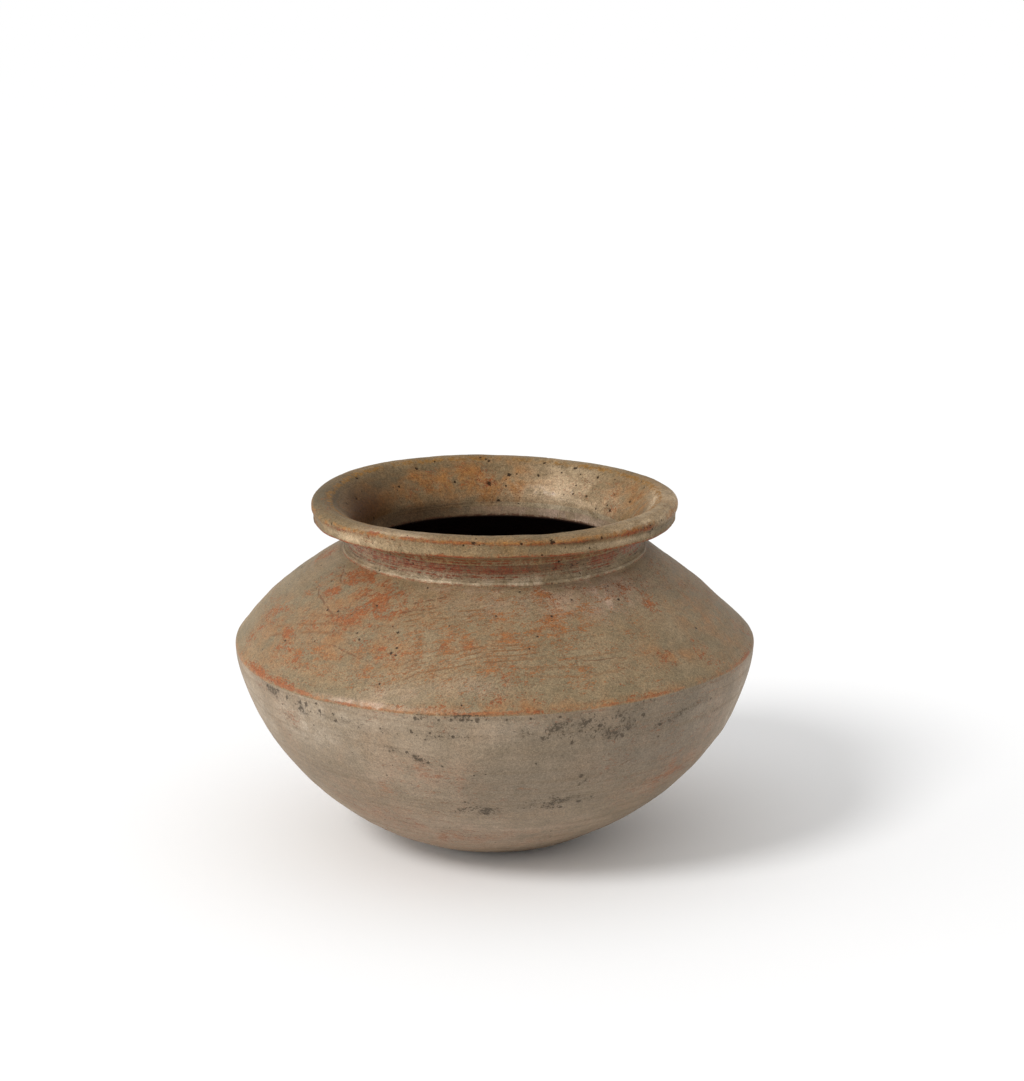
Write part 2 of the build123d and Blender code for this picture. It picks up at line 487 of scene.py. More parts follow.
def neckSurface(info):
    look = neckLook
    lines = np.sin(info.height * 2 * pi / look["lineSpacing"] + textured(info, look["lineSway"]))
    depth = look["turningLines"] * lines * (look["lineLevel"] + textured(info, look["lineBreaks"]))
    return depth + textured(info, look["layers"])


def coilSurface(info):
    return textured(info, neckLook["coilLayers"])


def makeNeck():
    foot, footIn = seatPoint(neckSize["outside"]), seatPoint(neckSize["inside"])
    top, topIn = rimSeam()
    runs = [
        ("outside", straight(foot, top, 30)),
        ("seam", straight(top, topIn, 3)),
        ("inside", straight(topIn, footIn, 10)),
        ("seam", straight(footIn, foot, 3)),
    ]
    return turnPiece("neckCollar", runs, neckLook["around"], foot, neckSurface)


def makeCoil():
    size, seat = neckSize, np.array(shoulderSize["seatOut"])
    foot = seatPoint(size["outside"])
    top = foot + [0, size["coilHeight"]]
    edge = seat + [-size["coilEdge"] / 2, size["coilEdge"]]
    runs = [
        ("outside", bowed(top, edge, -size["coilHollow"], 14)),
        ("outside", bowed(edge, seat, size["coilEdge"] / 4, 7)),
        ("seam", straight(seat, foot, 3)),
        ("seamBack", straight(foot, top, 4)),
    ]
    return turnPiece("neckSeamCoil", runs, neckLook["around"], seat, coilSurface)


neckCollar, neckInfo = makeNeck()
neckSeamCoil, coilInfo = makeCoil()
print("neck and its seam coil turned")

# rim
rimLook = {
    "around": 900,
    "layers": [             # finger marks along the lip, marks of the wet hand, and grain
        (0.24, "drawn", (17, 17, 9), 61), (0.12, "drawn", (20, 20, 2.6), 62), (0.05, "place", 3.6, 63),
        (0.03, "place", 1.9, 64),
    ],
    "pits": [               # azimuth, height, radius and depth of the larger pits inside and out
        (-178, 189.9, 2.1, 0.6), (174, 194.1, 1.5, 0.5), (120, 182.8, 2.1, 0.7), (178, 177.7, 1.7, 0.5),
        (-149, 198.9, 1.6, 0.5), (-119, 200.9, 1.5, 0.4), (-137, 191.9, 1.2, 0.4), (-109, 193.3, 1.4, 0.4),
        (-97, 194.4, 1.1, 0.3), (-114, 180.5, 1.4, 0.4), (-163, 191, 1.1, 0.3), (-157, 201.6, 1, 0.3),
        (-178, 200.9, 1.1, 0.3), (161, 201.4, 1.3, 0.4), (148, 200.5, 1.5, 0.4), (162, 195.1, 1.4, 0.4),
        (144, 187.7, 1.1, 0.3), (137, 187, 1.3, 0.3), (109, 191.7, 1.3, 0.4), (108, 200, 1, 0.3),
        (137, 198.2, 1.2, 0.3), (-6, 200.2, 1.8, 0.5), (17.7, 199.8, 2.1, 0.6), (8, 199.4, 1.1, 0.3),
        (34, 199, 1.2, 0.3), (30, 194.1, 1.1, 0.3), (-60, 199.5, 1, 0.4), (-9, 197.6, 1, 0.4),
        (63, 199.6, 1.1, 0.4),
    ],
}


def rimSurface(info):
    return textured(info, rimLook["layers"]) - pitted(info, rimLook["pits"])


def makeRim():
    size = rimSize
    top, topIn = rimSeam()
    cove = roundArc(top + [size["cove"], 0], size["cove"], 180, 90, 12)
    footCentre = np.array([size["footRadius"] - size["footRound"], size["foot"] + size["footRound"]])
    foot = roundArc(footCentre, size["footRound"], -90, 0, 6)
    lip = roundArc(size["lipCentre"], size["lip"], size["lipStart"], size["lipEnd"], fineSteps // 2)
    upperPull, lowerPull = lip[-1] + unit(lip[-1] - lip[-2]) * size["upperPull"], topIn + [0, size["lowerPull"]]
    runs = [
        ("cove", cove),
        ("under", straight(cove[-1], foot[0], 15)),
        ("foot", foot),
        ("band", bowed(foot[-1], lip[0], size["hollow"], 10)),
        ("lip", evenly(lip, 30)),
        ("flare", sweep(lip[-1], upperPull, lowerPull, topIn, 30)),
        ("seam", straight(topIn, top, 4)),
    ]
    return turnPiece("rimLip", runs, rimLook["around"], foot[3], rimSurface)


rimLip, rimInfo = makeRim()
print("rim turned")

# stains, painted shade and painted light, as azimuth from the front, height, half width, half rise, strength
# and for some a tilt
shoulderPaint = {
    "rust": [
        (-51, 168.4, 26, 5.5, 1.2, 4), (-40, 168, 18, 3.5, 1.05), (-38, 162, 24, 8, 1.15, -6),
        (-31, 165.4, 12, 4, 1.1), (-44, 154, 18, 6, 1.1, 12), (-58, 161, 9, 5, 1.1),
        (-54, 131, 26, 7, 0.85, -8), (-61, 138, 10, 5, 0.8, 30), (-56, 146, 14, 4, 0.8),
        (-74, 134, 16, 9, 0.6, 40), (-58, 120.5, 30, 3, 1.2), (-28, 141, 20, 7, 0.75, 6),
        (-20, 165, 14, 4, 0.7, 20), (-40, 145, 62, 22, 0.45), (-10, 148, 16, 5, 0.75), (74, 120, 18, 2, 0.7),
        (30, 120.2, 26, 1.6, 0.7), (-12, 120.5, 26, 2, 0.8), (52, 160, 20, 8, 0.6, 20), (45, 164, 12, 5, 0.8),
        (30, 168.5, 14, 3, 0.7), (56, 167, 9, 5, 0.7, 30), (118, 158, 30, 7, 0.9, 8),
        (150, 138, 26, 6, 0.85, -6), (-160, 163, 26, 6, 1, 5), (-120, 147, 30, 8, 0.9, -10),
        (-95, 166, 14, 4, 0.9), (165, 120.5, 60, 2.6, 1), (-120, 120.5, 50, 2.6, 1),
    ],
    "dash": [
        (-10, 148, 19, 7, 0.95, -8), (6, 151, 22, 5.5, 1.05), (0, 141, 18, 7, 0.85), (16, 166, 15, 6, 0.95),
        (-2, 160, 24, 5, 0.8), (29, 162, 16, 7, 0.85), (20, 156, 26, 8, 0.85), (6, 170, 20, 2, 0.8),
        (18, 133, 16, 7, 0.75), (40, 150, 22, 12, 0.6), (-50, 133, 32, 12, 0.65), (0, 147, 76, 24, 0.68),
        (100, 145, 40, 14, 0.7), (-150, 145, 50, 14, 0.7),
    ],
    "rub": [
        (-62, 119.4, 26, 1.6, 0.85), (-47, 118.9, 26, 1.4, 0.85), (-32, 118.3, 24, 1.1, 0.75),
        (-2, 118.7, 38, 1.3, 0.7), (33, 118.6, 44, 1.1, 0.66), (70, 118.6, 24, 1.3, 0.8),
        (-50, 169, 24, 4, 0.34, 4), (-36, 161, 22, 7, 0.36, -6), (-75, 126, 10, 6, 0.28, 30),
        (118, 119, 60, 2, 0.8), (-130, 119, 70, 2.4, 0.8), (-175, 168, 26, 3, 0.7), (140, 155, 18, 5, 0.6, 10),
        (178, 119, 30, 1.6, 0.8),
    ],
    "peach": [
        (-28, 141, 22, 8, 1, 6), (-44, 159, 34, 12, 1.1), (-50, 146, 44, 12, 0.9), (72, 139, 44, 22, 0.75),
        (-44, 137, 26, 9, 0.85), (4, 121.2, 44, 3.4, 1), (47, 134, 28, 6, 0.9, -10), (-62, 134, 30, 14, 0.95),
        (-76, 142, 14, 12, 0.8, 40), (0, 149, 36, 8, 0.5), (60, 150, 24, 10, 0.4), (26, 160, 20, 8, 0.5),
        (-66, 121, 24, 4, 0.8), (-8, 120.2, 46, 3, 0.75), (33, 119.8, 44, 2.4, 0.6), (160, 150, 40, 12, 0.7),
        (-140, 135, 34, 8, 0.7),
    ],
    # pale marks: a pale film, with painted highlight on the belly edge at the left front and painted light by
    # the neck at the right
    "paleAndLight": [
        (-27, 119.6, 28, 1.8, 1.2), (-15, 119.5, 24, 1.5, 0.75), (-22, 125, 28, 4, 0.3, 10),
        (-5, 130, 20, 5, 0.25), (-8, 170, 26, 1.6, 0.4), (4, 165, 46, 7, 0.24), (34, 165, 36, 9, 0.8),
        (175, 128, 40, 6, 0.7),
    ],
    "smoke": [
        (25, 167.5, 12, 4.5, 0.7), (44, 165, 10, 4.5, 0.6), (-33, 170, 4, 2, 0.4), (-8, 117.6, 36, 0.8, 1.1),
        (130, 166, 12, 4, 0.7),
    ],
    # cooler marks: greyer clay, and painted shade, most on the left of the shoulder
    "coolAndShade": [
        (75, 138, 60, 26, 0.46), (-46, 155, 28, 10, 0.75), (-45, 136, 26, 9, 0.45), (-55, 122, 40, 5, 0.55),
        (0, 121, 50, 4, 0.35), (45, 166, 30, 7, 0.15), (-62, 147, 66, 25, 0.55), (-66, 168, 20, 6, 0.5),
        (175, 145, 60, 20, 0.4),
    ],
}
bowlPaint = {
    "rust": [
        (-14, 28, 42, 14, 0.5), (-34, 40, 32, 11, 0.6, -10), (-50, 100, 10, 5.5, 0.8),
        (48, 63, 32, 14, 0.75, 12), (-15, 80, 30, 12, 0.5), (-60, 112, 10, 4, 0.6), (140, 70, 40, 20, 0.7),
        (-130, 50, 40, 14, 0.7, 10), (-170, 95, 30, 8, 0.6), (95, 92, 24, 8, 0.55),
    ],
    "dash": [
        (-27, 64, 7, 5, 1, -30), (-9, 72, 7, 2.5, 1), (7, 70, 7, 2.5, 1), (-15, 84, 26, 7, 0.6),
        (50, 62, 26, 9, 0.75, 10), (-10, 30, 42, 9, 0.75), (150, 60, 50, 20, 0.7), (-120, 80, 40, 16, 0.65),
    ],
    "peach": [
        (-14, 22, 50, 16, 0.9), (-36, 38, 36, 13, 0.7), (50, 62, 36, 16, 0.6, 10), (-15, 80, 30, 12, 0.5),
        (60, 92, 22, 18, 0.5), (15, 28, 50, 14, 0.6), (-35, 62, 26, 15, 0.45), (150, 60, 60, 30, 0.7),
        (-120, 70, 50, 24, 0.7),
    ],
    # pale marks: a pale film, and painted light on the left flank, low on the front and at the far right
    "paleAndLight": [
        (-70, 94, 34, 28, 0.42), (-44, 101, 32, 16, 0.75), (-24, 82, 40, 24, 0.28), (-28, 110, 34, 7, 0.4),
        (0, 28, 76, 18, 0.55), (75, 88, 40, 28, 0.75), (56, 98, 22, 14, 0.38), (2, 109, 30, 8, 0.28),
        (-150, 100, 50, 16, 0.7),
    ],
    "smoke": [
        (-56, 115, 13, 5, 1.1, -25), (-46, 111, 13, 5.5, 1.1, -25), (-38, 108, 12, 3, 1, -12),
        (-31, 106.5, 14, 2.6, 1.05, -8), (-22, 105.5, 15, 2.4, 1.05, -4), (-10, 105, 24, 2, 0.9),
        (-22, 94, 8, 3, 1.1, -18), (-17, 89.5, 10, 3, 1, -22), (26, 103, 18, 6, 1.25, 4),
        (18, 107, 36, 8, 1.1, 2), (42, 103, 27, 2.6, 1, 12), (-10, 115.7, 34, 1.9, 1.3),
        (16, 58, 21, 5.5, 1.35, 2), (-4, 54, 20, 3.8, 1.15, 3), (21, 74, 7, 6, 0.85, 30),
        (30, 113, 26, 5, 0.8, 6), (8, 95, 16, 5, 0.6), (60, 98, 20, 3, 0.8, 10), (62, 108, 16, 3, 0.7),
        (130, 104, 50, 6, 1), (170, 84, 30, 4, 1, 8), (-110, 108, 30, 4, 1, -5), (-150, 62, 26, 5, 0.9),
    ],
    # cooler marks: greyer clay, and painted shade on the right of the bowl, away from the light
    "coolAndShade": [
        (40, 92, 64, 34, 0.8), (15, 108, 40, 10, 0.4), (80, 90, 50, 30, 0.12), (8, 72, 40, 20, 0.55),
        (-175, 90, 60, 24, 0.5),
    ],
}
rimPaint = {
    "rust": [
        (-176, 192, 18, 8, 0.5), (-150, 190, 18, 8, 0.4), (125, 189, 18, 7, 0.5), (-15, 191, 34, 2, 1),
        (-45, 191, 30, 2, 0.95), (15, 191.6, 34, 1.8, 1), (40, 190.8, 20, 1.8, 0.9), (-22, 199.4, 40, 1.2, 1),
        (-55, 197.6, 24, 1.4, 0.85), (20, 198.6, 30, 1.2, 0.8), (46, 198, 26, 2, 0.9), (120, 196, 40, 4, 0.35),
        (121, 185, 8, 4, 0.9), (141, 187, 10, 2.5, 0.8), (-178, 190, 7, 4, 0.9),
    ],
    "rub": [
        (48, 198.6, 26, 1.8, 0.75), (-25, 199.2, 44, 1, 0.55), (15, 198.8, 30, 1, 0.5),
        (-39, 200.4, 8, 1.5, 0.8), (-24, 200.2, 14, 1.5, 0.75), (-10, 199.9, 12, 1.5, 0.8),
    ],
    "dash": [(0, 200, 60, 3, 0.7), (130, 190, 60, 10, 0.45), (-165, 188, 50, 10, 0.45)],
    "peach": [
        (-178, 191, 36, 10, 1.2), (-152, 189, 40, 10, 1.2), (0, 200.5, 70, 1.6, 0.6), (108, 191, 32, 11, 0.9),
        (-122, 189, 34, 8, 1), (-166, 181, 44, 9, 0.9),
    ],
    # pale marks: pale slip, with painted highlight inside the mouth at the back right and on the lip crest at
    # the left front
    "paleAndLight": [
        (152, 186, 34, 14, 1.05), (150, 174, 40, 8, 0.85), (-44, 195, 34, 3, 0.8), (-31, 201.7, 22, 0.9, 0.6),
        (40, 194.2, 32, 2, 0.5), (86, 200.5, 22, 4, 0.85), (125, 185, 26, 9, 0.9), (175, 177, 30, 8, 0.6),
        (140, 172, 34, 5, 1), (-166, 181, 40, 4, 0.45), (56, 200.4, 32, 2.8, 0.7),
    ],
    "smoke": [
        (60, 196, 20, 3, 0.8), (53, 199.2, 9, 1.8, 0.9), (22, 198.5, 3, 2, 1), (-4, 199, 5, 1.6, 1),
        (-110, 190, 20, 6, 0.5), (-30, 191.5, 30, 1.5, 0.5),
    ],
    "polish": [(-30, 201.2, 28, 1.6, 1), (152, 187, 18, 9, 0.5)],
    # cooler marks: greyer clay, and painted shade inside the mouth and on the lip crest at the left
    "coolAndShade": [
        (-135, 196.5, 34, 4, 0.9), (60, 195, 44, 4, 0.7), (-176, 198.5, 40, 2, 0.5), (-92, 201.5, 34, 3.5, 1.1),
    ],
    # deep: painted shade inside the mouth at the left, at the foot of the throat, and under the lip roll at the
    # right front
    "deep": [
        (-106, 186, 44, 14, 1), (-138, 175, 38, 9, 0.72), (-166, 168.5, 30, 5, 0.5), (-86, 187, 26, 9, 1),
        (-128, 191, 26, 6, 0.4), (135, 167.5, 50, 2.5, 0.6), (26, 198.2, 20, 1.5, 0.75),
        (50, 198.6, 20, 2.2, 0.5),
    ],
}
neckPaint = {
    "rust": [
        (-28, 180, 40, 5, 0.32), (0, 179.5, 26, 5, 0.42), (20, 180, 20, 5, 0.42), (45, 180, 28, 5, 0.35),
        (120, 180, 40, 6, 0.5), (-140, 180, 50, 6, 0.5),
    ],
    "dash": [
        (-20, 180, 48, 4.5, 0.4), (0, 179, 28, 4.5, 0.55), (30, 180, 34, 5, 0.5), (150, 180, 80, 5, 0.7),
        (-120, 180, 60, 5, 0.7), (-10, 175.6, 60, 1.2, 0.6),
    ],
    "peach": [(0, 179, 60, 5, 0.4), (-45, 179, 36, 5, 0.9)],
    # pale marks: the pale coil, with painted highlight on it at the left front
    "paleAndLight": [
        (-45, 177.5, 50, 5, 0.5), (-26, 174.8, 44, 3.6, 1.15), (2, 174.4, 40, 3.4, 1.2),
        (36, 174.4, 36, 3.4, 0.6), (-42, 175.4, 40, 2.8, 0.85), (150, 174, 60, 2.6, 0.7),
    ],
    "smoke": [(30, 180, 14, 3, 0.8), (35, 175, 16, 2, 0.6)],
    # cooler marks: greyer clay, and painted shade at the top of the neck under the band
    "coolAndShade": [(50, 178, 34, 8, 0.35), (0, 183, 80, 2, 0.3)],
    # deep: painted shade on the neck just under the band
    "deep": [(5, 182.4, 60, 1.6, 0.5), (2, 180, 40, 3, 0.52)],
}
# these are laid with even edges: the deep marks are painted shade, the cooler marks partly so
evenPaint = ("coolAndShade", "deep")
throatSlack = 0.2
raggedLevel, raggedLayers = 0.85, [(0.4, "place", 7, 90), (0.2, "place", 3, 91)]
patchEdge = (-0.1, 0.7)


def paintPiece(piece, info, paints, insideLabels, spread, throatPaint=None):
    # the wall of the throat carries the stains, painted shade and painted light of the rim above it
    # spread gives the size, strength and seed of the patches that lie all over the piece
    outside = ~np.isin(info.label, insideLabels)[:, None]
    throat = (info.radius < neckSize["inside"] + throatSlack) & (throatPaint is not None)
    ragged = raggedLevel + textured(info, raggedLayers)
    for kind, marks in paints.items():
        paint = dab(info, marks)
        if kind in spread:
            size, amount, seed = spread[kind]
            paint = np.maximum(paint, amount * softStep(lumps(info.place, size, seed), *patchEdge))
        if throatPaint:
            paint = np.where(throat, dab(info, throatPaint.get(kind, [])), paint)
        paint = paint * outside * (1 if kind in evenPaint else ragged)
        keep(piece, kind, info, np.clip(paint, 0, 1))
    keep(piece, "worked", info, outside & ~throat)
    keep(piece, "inside", info, np.broadcast_to(~outside, throat.shape))


paintPiece(bowl, bowlInfo, bowlPaint, ["floor", "inside"],
           {"rust": (30, 0.34, 71), "smoke": (24, 0.34, 72), "dash": (34, 0.42, 79)})
paintPiece(shoulder, shoulderInfo, {**shoulderPaint, "deep": []}, ["throatEdge", "inside", "insideEdge"],
           {"rust": (22, 0.5, 73), "smoke": (20, 0.25, 74), "dash": (26, 0.5, 80)}, rimPaint)
paintPiece(neckCollar, neckInfo, neckPaint, [], {"rust": (14, 0.4, 75)}, rimPaint)
paintPiece(neckSeamCoil, coilInfo, neckPaint, [], {"rust": (14, 0.35, 76)})
paintPiece(rimLip, rimInfo, rimPaint, [],
           {"rust": (16, 0.35, 77), "smoke": (14, 0.3, 78), "dash": (18, 0.4, 81)})
print("stains laid")


class wire:  # an output of a node, with which one can reckon as with a number
    def __init__(self, socket):
        self.socket, self.tree = socket, socket.id_data

    def calc(self, operation, other=0):
        return wire(addNode(self.tree, "Math", {0: self, 1: other}, operation=operation).outputs[0])

    def ramp(self, low, high, toLow=0, toHigh=1, smooth=True):
        kind = "SMOOTHSTEP" if smooth else "LINEAR"
        given = dict(enumerate((self, low, high, toLow, toHigh)))
        return wire(addNode(self.tree, "MapRange", given, interpolation_type=kind).outputs[0])

    __add__ = partialmethod(calc, "ADD")
    __sub__ = partialmethod(calc, "SUBTRACT")
    __mul__ = partialmethod(calc, "MULTIPLY")
    __truediv__ = partialmethod(calc, "DIVIDE")
    __abs__ = partialmethod(calc, "ABSOLUTE")


def wires(node):
    return {socket.name: wire(socket) for socket in node.outputs}


def feed(socket, value):  # a wire is linked to the socket, and a plain value is set on it
    if isinstance(value, wire):
        value.tree.links.new(value.socket, socket)
    else:
        socket.default_value = value


def addNode(tree, kind, given=None, **settings):
    node = tree.nodes.new("ShaderNode" + kind)
    for key, value in settings.items():
        setattr(node, key, value)
    for key, value in (given or {}).items():
        feed(node.inputs[key], value)
    return node


def greatest(a, b):
    return a.calc("MAXIMUM", b)


def vectorCalc(operation, a, b):
    node = addNode(a.tree, "VectorMath", {0: a, 1: b}, operation=operation)
    return wire(node.outputs["Value" if operation in ("DOT_PRODUCT", "DISTANCE") else "Vector"])


def mix(amount, first, second, blend="MIX"):
    tree = (amount if isinstance(amount, wire) else first).tree
    given = {0: amount, 6: first, 7: second}
    return wire(addNode(tree, "Mix", given, data_type="RGBA", blend_type=blend).outputs[2])


def noise(vector, scale, detail, rough=0.55, distort=0):
    given = {"Vector": vector, "Scale": scale, "Detail": detail, "Roughness": rough, "Distortion": distort}
    return wire(addNode(vector.tree, "TexNoise", given).outputs["Fac"])


def kept(tree, name, output="Fac"):
    return wire(addNode(tree, "Attribute", attribute_name=name).outputs[output])


def objectPlace(tree):
    return wire(addNode(tree, "TexCoord").outputs["Object"])


def split(vector):
    return wires(addNode(vector.tree, "SeparateXYZ", {0: vector})).values()


def join(*parts):
    return wire(addNode(parts[0].tree, "CombineXYZ", dict(enumerate(parts))).outputs[0])


def newGroup(name, values, colors=(), **inputs):
    tree = bpy.data.node_groups.new(name, "ShaderNodeTree")
    kinds = {3: "NodeSocketVector", 4: "NodeSocketColor"}
    for title, value in inputs.items():
        kind = kinds[len(value)] if isinstance(value, tuple) else "NodeSocketFloat"
        tree.interface.new_socket(title, in_out="INPUT", socket_type=kind).default_value = value
    for title in (*colors, *values):
        kind = "NodeSocketColor" if title in colors else "NodeSocketFloat"
        tree.interface.new_socket(title, in_out="OUTPUT", socket_type=kind)
    return tree, wires(tree.nodes.new("NodeGroupInput"))


def closeGroup(tree, **outputs):
    end = tree.nodes.new("NodeGroupOutput")
    for title, value in outputs.items():
        feed(end.inputs[title], value)
    return tree


# mottled slip over the clay, with its fine grain
# a noise is given its scale per metre, detail, roughness and distortion, and a ramp where it starts and ends
def makeSlipGround():
    tree, given = newGroup("slipGround", ["Grain"], ["Color", "Tone"], Slip=(0.3, 0.2, 0.1, 1),
                           Dull=(0.2, 0.15, 0.1, 1), Warm=(0.35, 0.2, 0.1, 1), Warmth=0.5, Speckle=0.2)
    place = objectPlace(tree)
    shifted = vectorCalc("ADD", place, (0.31, 0.17, 0.43))
    cloud = noise(place, 15, 4, 0.6) * 0.55 + noise(place, 62, 5, 0.62, 0.5) * 0.45
    warm = noise(shifted, 34, 6, 0.66, 0.4).ramp(0.47, 0.68)
    color = mix(cloud.ramp(0.38, 0.62), given["Slip"], given["Dull"])
    color = mix(warm * given["Warmth"], color, given["Warm"])
    grain = noise(place, 620, 3, 0.62) * 0.36 + noise(shifted, 1500, 2, 0.5) * 0.5
    grain = grain + noise(shifted, 210, 3, 0.6, 0.3) * 0.14
    tone = grain.ramp(0.34, 0.66, -1, 1, smooth=False) * given["Speckle"] + 1
    gray = addNode(tree, "CombineColor", dict.fromkeys(range(3), tone))
    return closeGroup(tree, Color=color, Tone=wire(gray.outputs[0]), Grain=grain)


# lines that the wet hand draws round the pot
def makeDrawnLines():
    tree, given = newGroup("drawnLines", ["Lines", "Height"], Fineness=260, Reach=9, Sway=0.004)
    x, y, z = split(kept(tree, "brushed", "Vector"))
    z = z + (noise(objectPlace(tree), 14, 2) - 0.5) * given["Sway"]
    place = join(x * given["Reach"], y * given["Reach"], z * given["Fineness"])
    drawn = noise(place, 1, 4, 0.62, 0.15)
    return closeGroup(tree, Lines=drawn.ramp(0.46, 0.7), Height=drawn)


# ragged flecks where the slip has worn through to the red clay
def makeWornFlecks():
    tree, given = newGroup("wornFlecks", ["Mask", "Tone"], Density=0, Fineness=190, Drawn=1.8, Softness=0.07)
    x, y, z = split(kept(tree, "brushed", "Vector"))
    fine, density, soft = given["Fineness"], given["Density"], given["Softness"]
    place = join(x * fine, y * fine, z * (fine * given["Drawn"]))
    small = noise(place, 4.6, 3, 0.65, 0.4)
    flecks = noise(place, 0.42, 3, 0.6, 0.6) * 0.28 + noise(place, 1.35, 4, 0.65, 1.1) * 0.4 + small * 0.32
    curl = abs(noise(place, 0.9, 3, 0.6, 1.4) - 0.5)
    flecks = flecks.ramp(0.33, 0.67, smooth=False) + curl.ramp(0, 0.05, 0.2, 0)
    limit = density * -0.47 + 0.95
    mask = flecks.ramp(limit - soft, limit + soft) * density.ramp(0.02, 0.16)
    return closeGroup(tree, Mask=mask, Tone=small)


# smoke: small dark dots in a faint grey cloud
def makeSmokeDots():
    tree, given = newGroup("smokeDots", ["Dots", "Cloud"], Density=0, Fineness=640)
    place, density = objectPlace(tree), given["Density"]
    clump = noise(place, 130, 3, 0.6)
    dots = noise(place, given["Fineness"], 3, 0.62, 0.5) * 0.74 + clump * 0.26
    limit = density * -0.5 + 0.96
    dots = dots.ramp(0.34, 0.7, smooth=False).ramp(limit - 0.02, limit + 0.07) * density.ramp(0.05, 0.3)
    return closeGroup(tree, Dots=dots, Cloud=density * density * clump.ramp(0.3, 0.66))


# a worn line at one place up the section; it also lays painted shade, along the throat's edge and on the rim's
# cove
def makeWearAndShadeLine():
    tree, given = newGroup("wearAndShadeLine", ["Mask"], Place=0, Width=0.001, Wander=0.001, Gaps=0.4)
    place, width, gaps = objectPlace(tree), given["Width"], given["Gaps"]
    _, _, up = split(kept(tree, "turned", "Vector"))
    offset = abs(up + (noise(place, 70, 3) - 0.5) * given["Wander"] - given["Place"])
    offset = offset + (noise(place, 480, 3, 0.65) - 0.42) * width * 1.6
    near = offset.ramp(width * 0.35, width, 1, 0)
    unbroken = noise(place, 46, 4, 0.65).ramp(gaps - 0.07, gaps + 0.07)
    rubbed = noise(place, 330, 4, 0.65).ramp(0.4, 0.56, 0.15, 1)
    return closeGroup(tree, Mask=near * unbroken * rubbed)


# scattered small pits left by burnt-out grit
def makeClayPits():
    tree, given = newGroup("clayPits", ["Mask"], Fineness=160, Share=0.3, Size=0.12)
    cells = wires(addNode(tree, "TexVoronoi", {"Vector": objectPlace(tree), "Scale": given["Fineness"]}))
    chance = wires(addNode(tree, "SeparateColor", {0: cells["Color"]}))
    size = given["Size"] * chance["Green"].ramp(0, 1, 0.45, 1.3, smooth=False)
    pit = cells["Distance"].ramp(size * 0.5, size, 1, 0)
    return closeGroup(tree, Mask=pit * chance["Red"].calc("LESS_THAN", given["Share"]))


# strokes of a wiping cloth, which climb and then level off round the shoulder
def makeCombedStrokes():
    tree, given = newGroup("combedStrokes", ["Mask"], Start=-26, End=12, Climb=0.024, Ease=12, Spacing=0.0055,
                           Low=-0.002, High=0.017)
    place, lowest = objectPlace(tree), 0.009
    x, y, _ = split(place)
    _, _, up = split(kept(tree, "turned", "Vector"))
    azimuth = x.calc("ARCTAN2", y * -1).calc("DEGREES")
    past = azimuth - given["Start"]
    left = (past / given["Ease"] * -1).calc("EXPONENT") * given["Climb"]
    level = up - lowest - given["Climb"] + left
    count = level / given["Spacing"] + (noise(place, 40, 2) - 0.5) * 0.9
    stroke = abs(count.calc("FRACT") - 0.5).ramp(0.04, 0.24, 1, 0)
    span = past.ramp(0, 5) * (given["End"] - azimuth).ramp(0, 9)
    band = (level - given["Low"]).ramp(0, 0.003) * (given["High"] - level).ramp(0, 0.005)
    broken = noise(place, 85, 3, 0.6).ramp(0.32, 0.54)
    return closeGroup(tree, Mask=stroke * broken * span * band)


# one scratch, in the plane through its two ends
def makeScratch():
    tree, given = newGroup("scratch", ["Mask"], From=(0, 0, 0), Along=(1, 0, 0), Across=(0, 0, 1), Length=0.02,
                           Width=0.001)
    place, length, width = objectPlace(tree), given["Length"], given["Width"]
    away = vectorCalc("SUBTRACT", place, given["From"])
    run = vectorCalc("DOT_PRODUCT", away, given["Along"]) / length
    off = abs(vectorCalc("DOT_PRODUCT", away, given["Across"]) + (noise(place, 90, 2) - 0.5) * 0.003)
    line = off.ramp(width * 0.25, width, 1, 0)
    ends = run.ramp(0, 0.12) * run.ramp(0.8, 1, 1, 0)
    broken = noise(place, 260, 3, 0.6).ramp(0.34, 0.54)
    facing = (vectorCalc("DISTANCE", place, given["From"]) / length).ramp(1.05, 1.2, 1, 0)
    return closeGroup(tree, Mask=line * ends * broken * facing)


# one larger pit, dark where the grit came out
def makePitSpot():
    tree, given = newGroup("pitSpot", ["Mask"], Spot=(0, 0, 0), Size=0.001)
    place = objectPlace(tree)
    away = vectorCalc("DISTANCE", place, given["Spot"]) / given["Size"]
    away = away + (noise(place, 760, 3, 0.6) - 0.5) * 2.2
    return closeGroup(tree, Mask=away.ramp(0.35, 0.75, 1, 0))


slipGround, drawnLines, wornFlecks = makeSlipGround(), makeDrawnLines(), makeWornFlecks()
smokeDots, wearAndShadeLine, clayPits = makeSmokeDots(), makeWearAndShadeLine(), makeClayPits()
combedStrokes, scratch, pitSpot = makeCombedStrokes(), makeScratch(), makePitSpot()
print("shared clay effects made")

